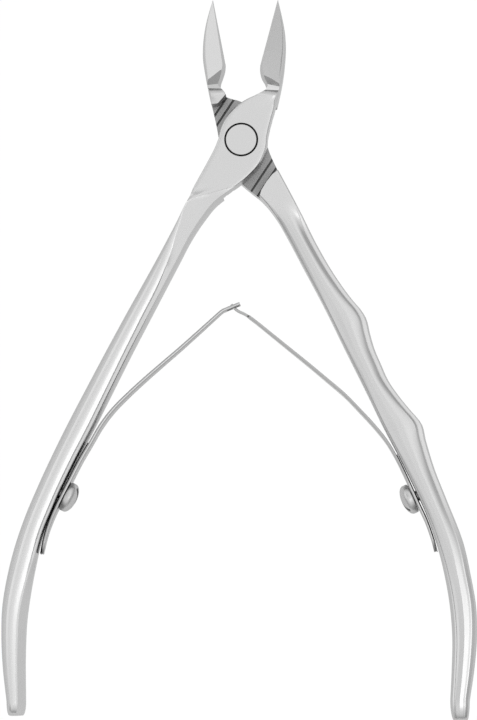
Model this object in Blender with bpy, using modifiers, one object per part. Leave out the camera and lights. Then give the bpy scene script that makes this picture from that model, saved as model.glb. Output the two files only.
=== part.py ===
"""Cuticle nipper with two leaf springs, lying flat and open.

Lengths in the tables are millimetres; everything built is in metres.
The rivet axis is the Z axis, the jaws point along +Y and the underside is z = 0.
The front half carries the right jaw and the left handle, with its lap on top.
The back half carries the left jaw and the right handle, with its lap underneath.
"""
import math

import bmesh
import bpy
from mathutils import Matrix, Quaternion, Vector

MM = 0.001
DEPTH = 8.0
MID = DEPTH / 2
LAP_GAP = 0.05
BLADE_SLOPE = 10.0
NARROWEST_CROWN = 0.3
FULL_CROWN = 4.3
BORE_RADIUS = 2.60
RIVET_RADIUS = 2.55
RING_RADIUS = 2.83
RING_DEPTH = 0.6
LEAF_GAP = 0.30
LEAF_THICK = 0.45
LEAF_SPLIT = 0.30
LEAF_HALF_WIDTH = 2.8
FOOT_END_HALF_WIDTH = 1.4
TAB_HALF_WIDTH = 1.3
TONGUE_HALF_WIDTH = 0.5
TONGUE_START_X = 0.9
EYE_RADIUS = 0.80
EYE_STRAIGHT = 0.6
SCREW_HEAD_RADIUS = 2.5
SCREW_RIM_HEIGHT = 0.8
SCREW_DOME_HEIGHT = 1.2
SLOT_WIDTH = 0.6
SLOT_DEPTH = 0.7
SLOT_TURN = 35.0
SHANK_RADIUS = 0.9
SHANK_DEPTH = 1.6

# Levels (y) at which both halves are sectioned, tip first.
LEVELS = [23.95, 23.3, 22.0, 20.0, 18.0, 16.0, 14.2, 12.95, 12.1, 11.2, 10.4, 9.6, 8.95, 8.4, 8.0,
          7.6, 7.35, 7.1, 6.75, 6.4, 5.8, 5.0, 4.2, 3.4, 2.6, 1.8, 1.0, 0.2, -0.5, -1.3, -2.1, -3.0,
          -3.9, -4.8, -5.6, -6.4, -7.2, -7.9, -8.6, -9.3, -10.2, -11.4, -12.6, -14.2, -16.0, -18.0,
          -20.0, -22.2, -24.6, -27.0, -28.4, -29.6, -30.8, -32.4, -34.6, -37.0, -39.6, -42.2, -44.6,
          -46.2, -47.4, -48.8, -50.6, -52.8, -55.2, -57.8, -60.4, -63.2, -66.0, -69.0, -72.0, -75.0,
          -78.2, -81.6, -85.0, -88.4, -91.2, -93.4]

# Each edge is a chain of smooth runs of (y, x); runs meet at corners.
FRONT_LEFT = [
    [(23.95, 5.93), (12.95, 3.03)],
    [(12.95, 3.03), (12.1, 3.0), (10.65, 3.3), (9.6, 3.88), (8.95, 4.1)],
    [(8.95, 4.1), (8.4, 3.85), (7.9, 3.1), (7.6, 2.6), (7.1, 1.45), (6.4, 0.2), (5.0, -1.5),
     (3.4, -2.68), (1.8, -3.42), (0.2, -3.8)],
    [(0.2, -3.8), (-1.3, -4.4), (-3.9, -5.75), (-7.9, -7.95), (-12.6, -10.4), (-20.0, -14.4),
     (-30.0, -19.95), (-40.0, -25.3), (-50.0, -30.45), (-57.6, -34.0), (-62.6, -36.1),
     (-67.6, -37.8), (-72.6, -39.05), (-77.6, -39.85), (-82.6, -40.0), (-87.6, -39.75),
     (-93.4, -39.1)],
]
FRONT_RIGHT = [
    [(23.95, 6.0), (21.9, 6.5), (17.8, 7.22), (15.8, 7.3), (13.8, 7.2), (9.6, 6.65), (5.2, 5.53),
     (1.8, 4.62), (0.2, 4.32), (-0.5, 4.3), (-2.45, 3.82), (-4.4, 2.78), (-5.75, 1.55),
     (-7.2, -0.1), (-8.6, -2.1), (-10.2, -4.15), (-12.6, -6.15), (-16.0, -8.4), (-20.0, -10.5),
     (-27.5, -14.4), (-35.0, -18.3), (-42.6, -22.1), (-47.6, -24.6), (-53.2, -27.55),
     (-61.0, -31.25), (-66.0, -33.25), (-70.1, -34.2), (-75.1, -35.15), (-80.1, -35.8),
     (-85.0, -36.0), (-93.4, -35.95)],
]
BACK_LEFT = [
    [(23.95, -4.92), (21.9, -5.53), (19.9, -6.03), (17.8, -6.37), (15.6, -6.53), (13.8, -6.5),
     (11.7, -6.2), (7.5, -5.37), (5.2, -4.82), (1.8, -4.1), (0.2, -3.86), (-0.9, -3.85),
     (-2.45, -3.6), (-4.4, -2.55), (-5.75, -1.35), (-7.2, 0.25), (-8.6, 1.95), (-9.3, 2.85),
     (-10.2, 3.75), (-12.6, 5.6), (-16.0, 7.55), (-20.0, 9.65), (-27.5, 13.6), (-35.0, 17.25),
     (-42.6, 21.0), (-47.6, 23.4), (-52.6, 26.0), (-58.0, 28.65), (-63.4, 31.0), (-68.4, 32.6),
     (-72.6, 33.6), (-77.6, 34.45), (-82.6, 34.85), (-88.4, 34.75), (-93.4, 34.5)],
]
BACK_RIGHT = [
    [(23.95, -4.85), (12.95, -2.74)],
    [(12.95, -2.74), (12.1, -2.8), (10.65, -3.2), (9.6, -3.55), (8.95, -3.5), (8.45, -3.1),
     (8.0, -2.75)],
    [(8.0, -2.75), (7.6, -2.55), (7.35, -1.7), (7.1, -0.7), (6.75, 0.1), (6.4, 0.6), (5.0, 1.6),
     (3.4, 2.68), (1.8, 3.42), (0.2, 3.8), (-0.5, 4.15), (-1.8, 4.6), (-3.8, 5.5), (-7.8, 7.6),
     (-12.6, 10.1), (-17.6, 12.6), (-22.6, 15.5), (-27.0, 18.65), (-28.4, 19.85), (-29.6, 20.6),
     (-32.4, 21.35), (-35.0, 22.1), (-37.6, 23.2), (-40.2, 24.35), (-42.8, 26.1), (-45.1, 27.95),
     (-47.4, 29.85), (-50.1, 30.55), (-55.1, 32.05), (-60.1, 34.0), (-67.6, 36.85), (-72.6, 37.95),
     (-77.6, 38.8), (-82.6, 38.95), (-87.6, 38.55), (-93.4, 37.7)],
]
FRONT_END = (-95.6, -38.7, -36.5)
BACK_END = (-96.7, 35.2, 37.2)

# Depth of the forging (half of it) along y.
HALF_DEPTH = [(23.95, 0.55), (20.6, 1.15), (16.5, 1.95), (12.9, 2.75), (9.9, 3.5), (8.0, 4.0),
              (6.0, 4.0), (-50.0, 4.0), (-58.0, 4.0), (-70.0, 3.8), (-80.0, 3.45), (-93.4, 3.0)]

GROOVES = (-6.35, -5.15, 5.8, 7.13)
GROOVE_ANGLE = 56.5
GROOVE_WIDTH = 0.36
GROOVE_DEPTH = 0.3

# Relief between blade and shoulder at its inner and outer ends: x, y and z of the ridge, y and z of the
# root, y where the shoulder starts. The z values count from the middle plane.
LEFT_RELIEF = ((2.0, 13.4, 2.35, 9.95, 1.3, 8.85), (6.3, 9.45, 3.6, 9.25, 3.1, 8.75))
RIGHT_RELIEF = ((2.4, 12.45, 2.75, 10.1, 1.4, 8.75), (6.9, 8.95, 3.72, 8.8, 3.5, 8.2))
RELIEF_RISE = 1.5
RELIEF_TOP = 6.0

# Width of the flat land along the inner edge of the plain handle, by level.
LAND = [(-8.0, 7.4), (-10.5, 5.0), (-13.0, 3.4), (-16.0, 2.4), (-19.0, 1.6), (-22.5, 1.1), (-30.0, 0.9),
        (-50.0, 0.65), (-62.0, 0.5), (-93.4, 0.4)]

# Plan of the pocket each half has for the other half's lap, as seen on the back half.
POCKET = [(-9.0, 5.9), (-4.8, 6.02), (-3.9, 6.12), (-2.85, 7.35), (-2.0, 8.6), (2.0, 9.6), (12.0, 7.0),
          (12.0, -3.2), (6.9, -4.75), (6.13, -5.12), (5.16, -5.86), (4.19, -7.1), (3.36, -8.48),
          (2.95, -9.9), (2.6, -11.0), (-3.0, -12.5), (-9.0, -7.0)]

# Leaf springs: centre line from the clamped foot to the hooked tip.
LEFT_LEAF = [(-33.2, -68.8), (-32.75, -66.5), (-31.95, -63.9), (-30.8, -61.2), (-28.85, -57.3),
             (-26.9, -53.45), (-25.25, -50.6), (-23.45, -47.5), (-21.45, -44.85), (-18.95, -42.3),
             (-16.25, -39.8), (-13.4, -37.3), (-10.5, -34.8), (-7.7, -32.3), (-5.0, -29.85),
             (-3.5, -28.5), (-2.9, -28.15), (-0.35, -27.1)]
RIGHT_LEAF = [(32.1, -68.6), (31.55, -66.45), (30.55, -63.6), (29.4, -61.1), (28.1, -58.25),
              (26.85, -55.5), (25.5, -52.75), (23.9, -50.1), (21.9, -47.6), (19.6, -45.1),
              (17.1, -42.5), (14.2, -40.0), (11.25, -37.5), (8.2, -35.0), (5.15, -32.5),
              (2.2, -30.1), (0.55, -28.9), (-0.5, -28.4), (-1.15, -27.95), (-1.8, -27.2)]
LEFT_FLEX = (-22.62, -46.4)
RIGHT_FLEX = (20.94, -46.5)
EYE_CENTRE = (-1.5, -27.7)
EYE_ANGLE = 21.0
LEFT_SCREW = (-30.14, -58.7, 0.893, -0.450)
RIGHT_SCREW = (29.12, -59.27, -0.911, -0.413)


def clear_scene():
    """Remove the objects the program starts with."""
    for item in list(bpy.data.objects):
        bpy.data.objects.remove(item)


def new_collection(name):
    """A collection linked to the scene."""
    group = bpy.data.collections.new(name)
    bpy.context.scene.collection.children.link(group)
    return group


def steel(name, tone, roughness):
    """A plain stainless steel material."""
    material = bpy.data.materials.new(name)
    material.use_nodes = True
    shader = material.node_tree.nodes["Principled BSDF"]
    shader.inputs["Base Color"].default_value = (tone, tone, tone, 1.0)
    shader.inputs["Metallic"].default_value = 1.0
    shader.inputs["Roughness"].default_value = roughness
    material.diffuse_color = (tone, tone, tone, 1.0)
    return material


def mesh_object(name, vertices, faces, group):
    """An object made from millimetre vertices."""
    mesh = bpy.data.meshes.new(name)
    mesh.from_pydata([Vector(v) * MM for v in vertices], [], faces)
    mesh.update()
    item = bpy.data.objects.new(name, mesh)
    group.objects.link(item)
    return item


def loft(name, sections, group):
    """Join closed sections, each with the same number of corners, and cap both ends."""
    count = len(sections[0])
    vertices = [corner for section in sections for corner in section]
    faces = []
    for row in range(len(sections) - 1):
        for corner in range(count):
            following = (corner + 1) % count
            a = row * count + corner
            b = row * count + following
            faces.append((a, b, b + count, a + count))
    faces.append(tuple(reversed(range(count))))
    last = (len(sections) - 1) * count
    faces.append(tuple(last + corner for corner in range(count)))
    item = mesh_object(name, vertices, faces, group)
    shape = bmesh.new()
    shape.from_mesh(item.data)
    bmesh.ops.recalc_face_normals(shape, faces=shape.faces)
    shape.to_mesh(item.data)
    shape.free()
    return item


def slope(run, index):
    """Tangent of a smooth run at one of its points."""
    if index == 0 or index == len(run) - 1:
        near = 1 if index == 0 else index - 1
        return (run[near][1] - run[index][1]) / (run[near][0] - run[index][0])
    before, here, after = run[index - 1], run[index], run[index + 1]
    step_in = here[0] - before[0]
    step_out = after[0] - here[0]
    rise_in = (here[1] - before[1]) / step_in
    rise_out = (after[1] - here[1]) / step_out
    return (rise_in * step_out + rise_out * step_in) / (step_in + step_out)


def run_value(run, y):
    """Smooth value of a run at level y."""
    for index in range(len(run) - 1):
        y0, x0 = run[index]
        y1, x1 = run[index + 1]
        if y1 <= y <= y0:
            span = y1 - y0
            t = (y - y0) / span
            m0 = slope(run, index) * span
            m1 = slope(run, index + 1) * span
            cubic = 2 * t ** 3 - 3 * t ** 2
            return x0 * (1 + cubic) - x1 * cubic + m0 * (t ** 3 - 2 * t ** 2 + t) + m1 * (t ** 3 - t ** 2)
    return run[-1][1]


def edge_value(runs, y):
    """Value of a chain of runs at level y."""
    for run in runs:
        if y >= run[-1][0]:
            return run_value(run, y)
    return runs[-1][-1][1]


def ease(value, start, end):
    """Smooth step from 0 at start to 1 at end."""
    t = max(0.0, min(1.0, (value - start) / (end - start)))
    return t * t * (3 - 2 * t)


# Side profiles: (distance in from the edge, share of the half depth), edge first.
def lap_side(y, width, half):
    """Square shoulder with a small chamfer."""
    return [(0.0, 1 - 0.25 / half), (0.10, 1 - 0.09 / half), (0.28, 1.0), (0.3 * width, 1.0),
            (0.45 * width, 1.0)]


def cutting_side(y, width, half):
    """Ground bevel that starts at the middle plane, then the sloping face of the blade."""
    bevel = 0.17 * half
    crest = 0.84 * width
    start = 1 - math.tan(math.radians(BLADE_SLOPE)) * (crest - bevel) / half
    return [(0.0, 0.04), (bevel / 2, (0.04 + start) / 2), (bevel, start),
            ((bevel + crest) / 2, (start + 1) / 2), (crest, 1.0)]


def spine_side(y, width, half):
    """Rounded back of the jaw."""
    reach = min(width, 4.0)
    return [(0.0, 0.40), (0.03 * reach, 0.68), (0.08 * reach, 0.88), (0.14 * reach, 0.98), (0.15 * width, 1.0)]


def plain_face(y):
    """Width of the sloping inner face of the plain handle."""
    return 0.10 + 0.93 * ease(y, -66.0, -80.0)


def crown_width(y, width):
    """Width of the rounded part of the plain handle, outside its flat land."""
    land = min(run_value(LAND, y), width - plain_face(y) - NARROWEST_CROWN)
    return width - land - plain_face(y)


def crown_level(crown):
    """Height of the top of the crown."""
    return 1 - 0.01 * min(1.0, crown / FULL_CROWN)


def plain_outer_side(y, width, half):
    """Rounded outer side of the plain handle, up to the top of its crown."""
    crown = crown_width(y, width)
    return [(0.0, 0.20), (0.05 * crown, 0.50), (0.17 * crown, 0.76), (0.36 * crown, 0.945),
            (0.5 * crown, crown_level(crown))]


def plain_inner_side(y, width, half):
    """Inner side of the plain handle: sloping face, flat land, start of the crown."""
    crown = crown_width(y, width)
    face = plain_face(y)
    land = width - crown - face
    level = 0.996 - 0.065 * min(1.0, crown / FULL_CROWN) ** 2
    return [(0.0, 0.40), (face, level - 0.06), (face + 0.12, level), (face + land, level),
            (face + land + 0.2 * crown, 0.3 * level + 0.7 * crown_level(crown))]


def wavy_inner_side(y, width, half):
    """Inner side of the wavy handle, with a face that widens towards the end."""
    low = ease(y, -58.0, -78.0)
    face = 0.02 + 0.50 * low * min(1.0, width / 4.0)
    return [(0.0, 0.86 - 0.46 * low), (face, 0.875), (face + 0.22, 0.91),
            (face + 0.17 * width, 0.952), (face + 0.31 * width, 0.99)]


def wavy_outer_side(y, width, half):
    """Outer side of the wavy handle: shelf with a rounded rim, fillet, hollow face."""
    scale = min(1.0, width / 4.0)
    low = ease(y, -56.0, -76.0)
    return [(0.0, 0.50), (0.14 * scale, 0.76), (0.80 * scale, 0.875 + 0.06 * low),
            (1.30 * scale, 0.915 + 0.055 * low), (0.45 * width, 1.0)]


def mix(first, second, share):
    """Blend two side profiles."""
    return [(a[0] + (b[0] - a[0]) * share, a[1] + (b[1] - a[1]) * share) for a, b in zip(first, second)]


def front_sides(y, width, half):
    """Left and right side profiles of the front half."""
    lap = lap_side(y, width, half)
    if y > 8.0:
        left = mix(lap, cutting_side(y, width, half), ease(y, 8.4, 9.5))
    elif y > -7.5:
        left = lap
    else:
        left = mix(plain_outer_side(y, width, half), lap, ease(y, -10.5, -7.6))
    if y > -7.5:
        right = mix(lap, spine_side(y, width, half), ease(y, 5.0, 9.5))
    else:
        right = mix(plain_inner_side(y, width, half), lap, ease(y, -10.5, -7.6))
    return left, right


def back_sides(y, width, half):
    """Left and right side profiles of the back half."""
    lap = lap_side(y, width, half)
    if y > -6.0:
        left = mix(lap, spine_side(y, width, half), ease(y, 5.0, 9.5))
    else:
        left = mix(wavy_inner_side(y, width, half), lap, ease(y, -16.0, -9.3))
    if y > 8.0:
        right = mix(lap, cutting_side(y, width, half), ease(y, 8.4, 9.5))
    else:
        right = mix(wavy_outer_side(y, width, half), lap, ease(y, -16.0, -10.0))
    return left, right


def section(y, left, right, half, sides):
    """One closed section of a half at level y."""
    left_side, right_side = sides(y, right - left, half)
    top = [(left + d, share * half) for d, share in left_side]
    top += [(right - d, share * half) for d, share in reversed(right_side)]
    upper = [(x, y, MID + z) for x, z in top]
    lower = [(x, y, MID - z) for x, z in reversed(top)]
    return upper + lower


def end_sections(left, right, sides, end):
    """Rounded end of a handle, below the last level."""
    last_y, half = HALF_DEPTH[-1]
    end_y, end_left, end_right = end
    sections = []
    for angle in (25.0, 48.0, 68.0, 84.0):
        turn = math.radians(angle)
        y = last_y + (end_y - last_y) * math.sin(turn)
        fall = 1 - math.cos(turn)
        new_left = left + (end_left - left) * fall
        new_right = right + (end_right - right) * fall
        sections.append(section(y, new_left, new_right, half * (1 - 0.45 * fall), sides))
    return sections


def half_body(name, left_edge, right_edge, sides, end, group):
    """One forged half, before any machining."""
    sections = []
    for y in LEVELS:
        left = edge_value(left_edge, y)
        right = edge_value(right_edge, y)
        sections.append(section(y, left, right, min(MID, run_value(HALF_DEPTH, y)), sides))
    sections += end_sections(left, right, sides, end)
    return loft(name, sections, group)


def plate(name, plan, low, high, group):
    """Flat outline given a thickness, as a mesh."""
    curve = bpy.data.curves.new(name, "CURVE")
    curve.dimensions = "2D"
    curve.fill_mode = "BOTH"
    curve.extrude = (high - low) / 2 * MM
    outline = curve.splines.new("POLY")
    outline.points.add(len(plan) - 1)
    for point, (x, y) in zip(outline.points, plan):
        point.co = (x * MM, y * MM, 0.0, 1.0)
    outline.use_cyclic_u = True
    flat = bpy.data.objects.new(name + "_outline", curve)
    group.objects.link(flat)
    evaluated = flat.evaluated_get(bpy.context.evaluated_depsgraph_get())
    mesh = bpy.data.meshes.new_from_object(evaluated)
    bpy.data.objects.remove(flat)
    weld = bmesh.new()
    weld.from_mesh(mesh)
    bmesh.ops.remove_doubles(weld, verts=weld.verts, dist=0.000001)
    weld.to_mesh(mesh)
    weld.free()
    item = bpy.data.objects.new(name, mesh)
    item.location.z = (low + high) / 2 * MM
    group.objects.link(item)
    return item


def cylinder(name, radius, low, high, group, sides=48):
    """Upright cylinder on the rivet axis."""
    shape = bmesh.new()
    bmesh.ops.create_cone(shape, cap_ends=True, segments=sides, radius1=radius * MM,
                          radius2=radius * MM, depth=(high - low) * MM)
    mesh = bpy.data.meshes.new(name)
    shape.to_mesh(mesh)
    shape.free()
    item = bpy.data.objects.new(name, mesh)
    item.location.z = (low + high) / 2 * MM
    group.objects.link(item)
    return item


def box(name, size, group):
    """Box of a given size, centred on its own origin."""
    shape = bmesh.new()
    bmesh.ops.create_cube(shape, size=1.0)
    bmesh.ops.scale(shape, vec=Vector(size) * MM, verts=shape.verts)
    mesh = bpy.data.meshes.new(name)
    shape.to_mesh(mesh)
    shape.free()
    item = bpy.data.objects.new(name, mesh)
    group.objects.link(item)
    return item


def point_along(item, place):
    """Stand a piece that is modelled along +Z on a point of a handle, facing away from it."""
    x, y, dx, dy = place
    item.location = (x * MM, y * MM, MID * MM)
    item.rotation_mode = "QUATERNION"
    item.rotation_quaternion = Vector((dx, dy, 0.0)).to_track_quat("Z", "Y")


def turned(name, profile, group, sides):
    """Turned piece: (height, radius) pairs from top to bottom, ending on the axis."""
    mesh = bpy.data.meshes.new(name)
    corners = [(radius * MM, 0.0, height * MM) for height, radius in profile]
    mesh.from_pydata(corners, [(k, k + 1) for k in range(len(corners) - 1)], [])
    item = bpy.data.objects.new(name, mesh)
    group.objects.link(item)
    spin = item.modifiers.new("turn", "SCREW")
    spin.steps = sides
    spin.render_steps = sides
    spin.use_merge_vertices = True
    spin.merge_threshold = 0.00001
    return item


def make_cutter(item):
    """Mark a piece as a cutting tool only."""
    item.hide_render = True
    item.display_type = "WIRE"


def cut(item, tool):
    """Subtract a tool from a piece."""
    make_cutter(tool)
    step = item.modifiers.new("cut_" + tool.name, "BOOLEAN")
    step.operation = "DIFFERENCE"
    step.solver = "EXACT"
    step.object = tool


def mirrored(plan):
    """Plan of the same shape on the other half."""
    return [(-x, y) for x, y in reversed(plan)]


def scallop(name, side, top, group):
    """Relief between blade and shoulder, on the top or the underside of a jaw."""
    sign = 1 if top else -1
    relief = RIGHT_RELIEF if side > 0 else LEFT_RELIEF
    rings = []
    for x, ridge_y, ridge_z, root_y, root_z, shoulder_y in relief:
        outline = [(ridge_y + 0.6, RELIEF_TOP), (ridge_y, ridge_z), (root_y, root_z), (shoulder_y, root_z)]
        rise = MID + 0.03 - root_z
        for angle in (25.0, 50.0, 75.0, 90.0):
            turn = math.radians(angle)
            outline.append((shoulder_y - RELIEF_RISE * (1 - math.cos(turn)), root_z + rise * math.sin(turn)))
        outline.append((shoulder_y - RELIEF_RISE - 0.4, RELIEF_TOP))
        rings.append([(side * x, y, MID + sign * z) for y, z in outline])
    return loft(name, rings, group)


def cut_lap_grooves(item, name, side, low, high, group):
    """Straight machined grooves that cross a recessed lap."""
    turn = math.radians(GROOVE_ANGLE)
    for number, offset in enumerate(GROOVES):
        groove = box(name + "_groove_" + str(number), (18.0, GROOVE_WIDTH, high - low), group)
        across = Vector((side * offset * math.sin(turn), -offset * math.cos(turn), (low + high) / 2))
        groove.location = across * MM
        groove.rotation_euler.z = side * turn
        cut(item, groove)


def screw_hole(item, name, place, radius, low, high, group):
    """Round hole along a spring screw's axis."""
    x, y, dx, dy = place
    hole = cylinder(name, radius, low, high, group, 24)
    middle = (low + high) / 2
    point_along(hole, (x + dx * middle, y + dy * middle, dx, dy))
    cut(item, hole)


def machine_half(item, name, side, on_top, screw, group):
    """Pocket, bore, ring, reliefs, grooves and screw hole of one half."""
    if on_top:
        pocket = plate(name + "_pocket", mirrored(POCKET), -1.0, MID + LAP_GAP, group)
        ring = cylinder(name + "_ring", RING_RADIUS, DEPTH - RING_DEPTH, DEPTH + 1.0, group)
        groove_low, groove_high = MID - 0.5, MID + LAP_GAP + GROOVE_DEPTH
    else:
        pocket = plate(name + "_pocket", POCKET, MID - LAP_GAP, DEPTH + 1.0, group)
        ring = cylinder(name + "_ring", RING_RADIUS, -1.0, RING_DEPTH, group)
        groove_low, groove_high = MID - LAP_GAP - GROOVE_DEPTH, MID + 0.5
    cut(item, pocket)
    cut_lap_grooves(item, name, -1 if on_top else 1, groove_low, groove_high, group)
    cut(item, cylinder(name + "_bore", BORE_RADIUS, -1.0, DEPTH + 1.0, group))
    cut(item, ring)
    cut(item, scallop(name + "_relief_top", side, True, group))
    cut(item, scallop(name + "_relief_under", side, False, group))
    screw_hole(item, name + "_screw_hole", screw, SHANK_RADIUS + 0.1, -SHANK_DEPTH - 0.3, 1.0, group)


def smooth_path(points, step):
    """Even points along a smooth curve through the key points."""
    dense = []
    for k in range(len(points) - 1):
        p0 = Vector(points[max(k - 1, 0)])
        p1 = Vector(points[k])
        p2 = Vector(points[k + 1])
        p3 = Vector(points[min(k + 2, len(points) - 1)])
        for part in range(8):
            t = part / 8
            near = p1 * 2 + (p2 - p0) * t
            far = (p0 * 2 - p1 * 5 + p2 * 4 - p3) * t * t + (p1 * 3 - p0 - p2 * 3 + p3) * t ** 3
            dense.append((near + far) * 0.5)
    dense.append(Vector(points[-1]))
    path = [dense[0]]
    carried = 0.0
    for a, b in zip(dense, dense[1:]):
        carried += (b - a).length
        if carried >= step:
            path.append(b)
            carried = 0.0
    if (path[-1] - dense[-1]).length > 0.2 * step:
        path.append(dense[-1])
    return path


def split_path(path, at):
    """Foot and arm parts of a leaf, with a thin gap at the flex point."""
    spot = Vector(at)
    nearest = min(range(len(path)), key=lambda k: (path[k] - spot).length)
    heading = (path[nearest + 1] - path[nearest - 1]).normalized()
    foot = path[:nearest] + [spot - heading * LEAF_SPLIT / 2]
    arm = [spot + heading * LEAF_SPLIT / 2] + path[nearest + 1:]
    return foot, arm


def strip(name, path, half_widths, group):
    """Spring strip on edge along a plan path: an open surface given the leaf's thickness."""
    vertices = []
    for spot, half in zip(path, half_widths):
        vertices.append((spot.x, spot.y, MID - half))
        vertices.append((spot.x, spot.y, MID + half))
    faces = [(2 * k, 2 * k + 2, 2 * k + 3, 2 * k + 1) for k in range(len(path) - 1)]
    item = mesh_object(name, vertices, faces, group)
    thickness = item.modifiers.new("thickness", "SOLIDIFY")
    thickness.thickness = LEAF_THICK * MM
    thickness.offset = 0.0
    return item


def foot_widths(count):
    """Half widths of a leaf's foot, narrow at the very end."""
    spread = LEAF_HALF_WIDTH - FOOT_END_HALF_WIDTH
    return [FOOT_END_HALF_WIDTH + spread * min(1.0, 2.0 * k / (count - 1)) for k in range(count)]


def tapering(start, end, count):
    """Half widths that change evenly along a strip."""
    return [start + (end - start) * k / (count - 1) for k in range(count)]


def left_arm(path, group, cutters):
    """Left leaf's arm, ending in a tab with an oval eye."""
    arm = strip("left_spring_arm", path, tapering(LEAF_HALF_WIDTH, TAB_HALF_WIDTH, len(path)), group)
    outline = []
    for k in range(24):
        angle = 2 * math.pi * k / 24
        straight = math.copysign(EYE_STRAIGHT / 2, math.cos(angle))
        outline.append((straight + EYE_RADIUS * math.cos(angle), EYE_RADIUS * math.sin(angle)))
    eye = plate("left_spring_eye", outline, -1.2, 1.2, cutters)
    eye.location = (EYE_CENTRE[0] * MM, EYE_CENTRE[1] * MM, MID * MM)
    eye.rotation_euler = (math.radians(90.0), 0.0, math.radians(EYE_ANGLE))
    cut(arm, eye)
    return arm


def right_arm(path, group):
    """Right leaf's arm, ending in a narrow tongue that passes through the eye."""
    half_widths = tapering(LEAF_HALF_WIDTH, TAB_HALF_WIDTH, len(path))
    for k, spot in enumerate(path):
        if spot.x < TONGUE_START_X:
            half_widths[k] = TONGUE_HALF_WIDTH
    return strip("right_spring_arm", path, half_widths, group)


def spring_screw(name, place, group, cutters):
    """Slotted screw with a domed head that clamps a leaf's foot."""
    seat = LEAF_GAP + LEAF_THICK + 0.05
    rim = seat + SCREW_RIM_HEIGHT
    profile = [(rim + SCREW_DOME_HEIGHT, 0.0)]
    for turn in range(80, 0, -16):
        rise = SCREW_DOME_HEIGHT * math.sin(math.radians(turn))
        profile.append((rim + rise, SCREW_HEAD_RADIUS * math.cos(math.radians(turn))))
    profile += [(rim, SCREW_HEAD_RADIUS), (seat + 0.15, SCREW_HEAD_RADIUS), (seat, SCREW_HEAD_RADIUS - 0.15),
                (seat, SHANK_RADIUS), (-SHANK_DEPTH + 0.2, SHANK_RADIUS), (-SHANK_DEPTH, 0.7),
                (-SHANK_DEPTH, 0.0)]
    screw = turned(name, profile, group, 32)
    point_along(screw, place)
    slot = box(name + "_slot", (8.0, SLOT_WIDTH, 2.0), cutters)
    reach = rim + SCREW_DOME_HEIGHT - SLOT_DEPTH + 1.0
    x, y, dx, dy = place
    point_along(slot, (x + dx * reach, y + dy * reach, dx, dy))
    slot.rotation_quaternion = slot.rotation_quaternion @ Quaternion((0.0, 0.0, 1.0), math.radians(SLOT_TURN))
    cut(screw, slot)
    return screw


def finish(item, material):
    """Give a piece its material and shading."""
    item.data.materials.append(material)
    item.data.shade_smooth()
    item.data.set_sharp_from_angle(angle=math.radians(32.0))


def hang_on_axis(item, name, x, y, group):
    """Parent a moving piece to an empty on its hinge axis."""
    marker = bpy.data.objects.new(name, None)
    marker.location = (x * MM, y * MM, MID * MM)
    marker.empty_display_size = 0.004
    group.objects.link(marker)
    item.parent = marker
    item.matrix_parent_inverse = Matrix.Translation(-marker.location)


def build_halves(nipper, cutters):
    """The two forged halves and the rivet that joins them."""
    front = half_body("front_half", FRONT_LEFT, FRONT_RIGHT, front_sides, FRONT_END, nipper)
    finish(front, steel("front_half_steel", 0.72, 0.30))
    machine_half(front, "front", 1, True, LEFT_SCREW, cutters)
    back = half_body("back_half", BACK_LEFT, BACK_RIGHT, back_sides, BACK_END, nipper)
    finish(back, steel("back_half_steel", 0.70, 0.32))
    machine_half(back, "back", -1, False, RIGHT_SCREW, cutters)
    hang_on_axis(back, "pivot_axis", 0.0, 0.0, nipper)
    rivet = cylinder("pivot_rivet", RIVET_RADIUS, 0.0, DEPTH, nipper)
    finish(rivet, steel("rivet_steel", 0.70, 0.25))


def build_spring(side, leaf, flex, screw, make_arm, nipper, cutters):
    """One leaf spring with its clamped foot, free arm and screw."""
    foot_path, arm_path = split_path(smooth_path(leaf, 0.9), flex)
    foot = strip(side + "_spring_foot", foot_path, foot_widths(len(foot_path)), nipper)
    finish(foot, steel(side + "_spring_foot_steel", 0.66, 0.22))
    screw_hole(foot, side + "_foot_hole", screw, SHANK_RADIUS + 0.15, -0.2, 1.6, cutters)
    arm = make_arm(arm_path)
    finish(arm, steel(side + "_spring_arm_steel", 0.66, 0.22))
    hang_on_axis(arm, side + "_flex_axis", flex[0], flex[1], nipper)
    fastener = spring_screw(side + "_spring_screw", screw, nipper, cutters)
    finish(fastener, steel(side + "_screw_steel", 0.62, 0.30))


def build():
    """Make every piece of the nipper."""
    clear_scene()
    nipper = new_collection("cuticle_nipper")
    cutters = new_collection("cutters")
    build_halves(nipper, cutters)
    build_spring("left", LEFT_LEAF, LEFT_FLEX, LEFT_SCREW,
                 lambda path: left_arm(path, nipper, cutters), nipper, cutters)
    build_spring("right", RIGHT_LEAF, RIGHT_FLEX, RIGHT_SCREW,
                 lambda path: right_arm(path, nipper), nipper, cutters)


build()
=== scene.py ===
"""Looks of the cuticle nipper: satin forged halves, flush rivet, hooked leaf springs and slotted screws.

Tables are millimetres in the frame of the CAD model: rivet axis on Z, jaws along +Y, underside at z = 0.
"""
import math

import bmesh
import bpy
from mathutils import Matrix, Quaternion, Vector


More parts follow.
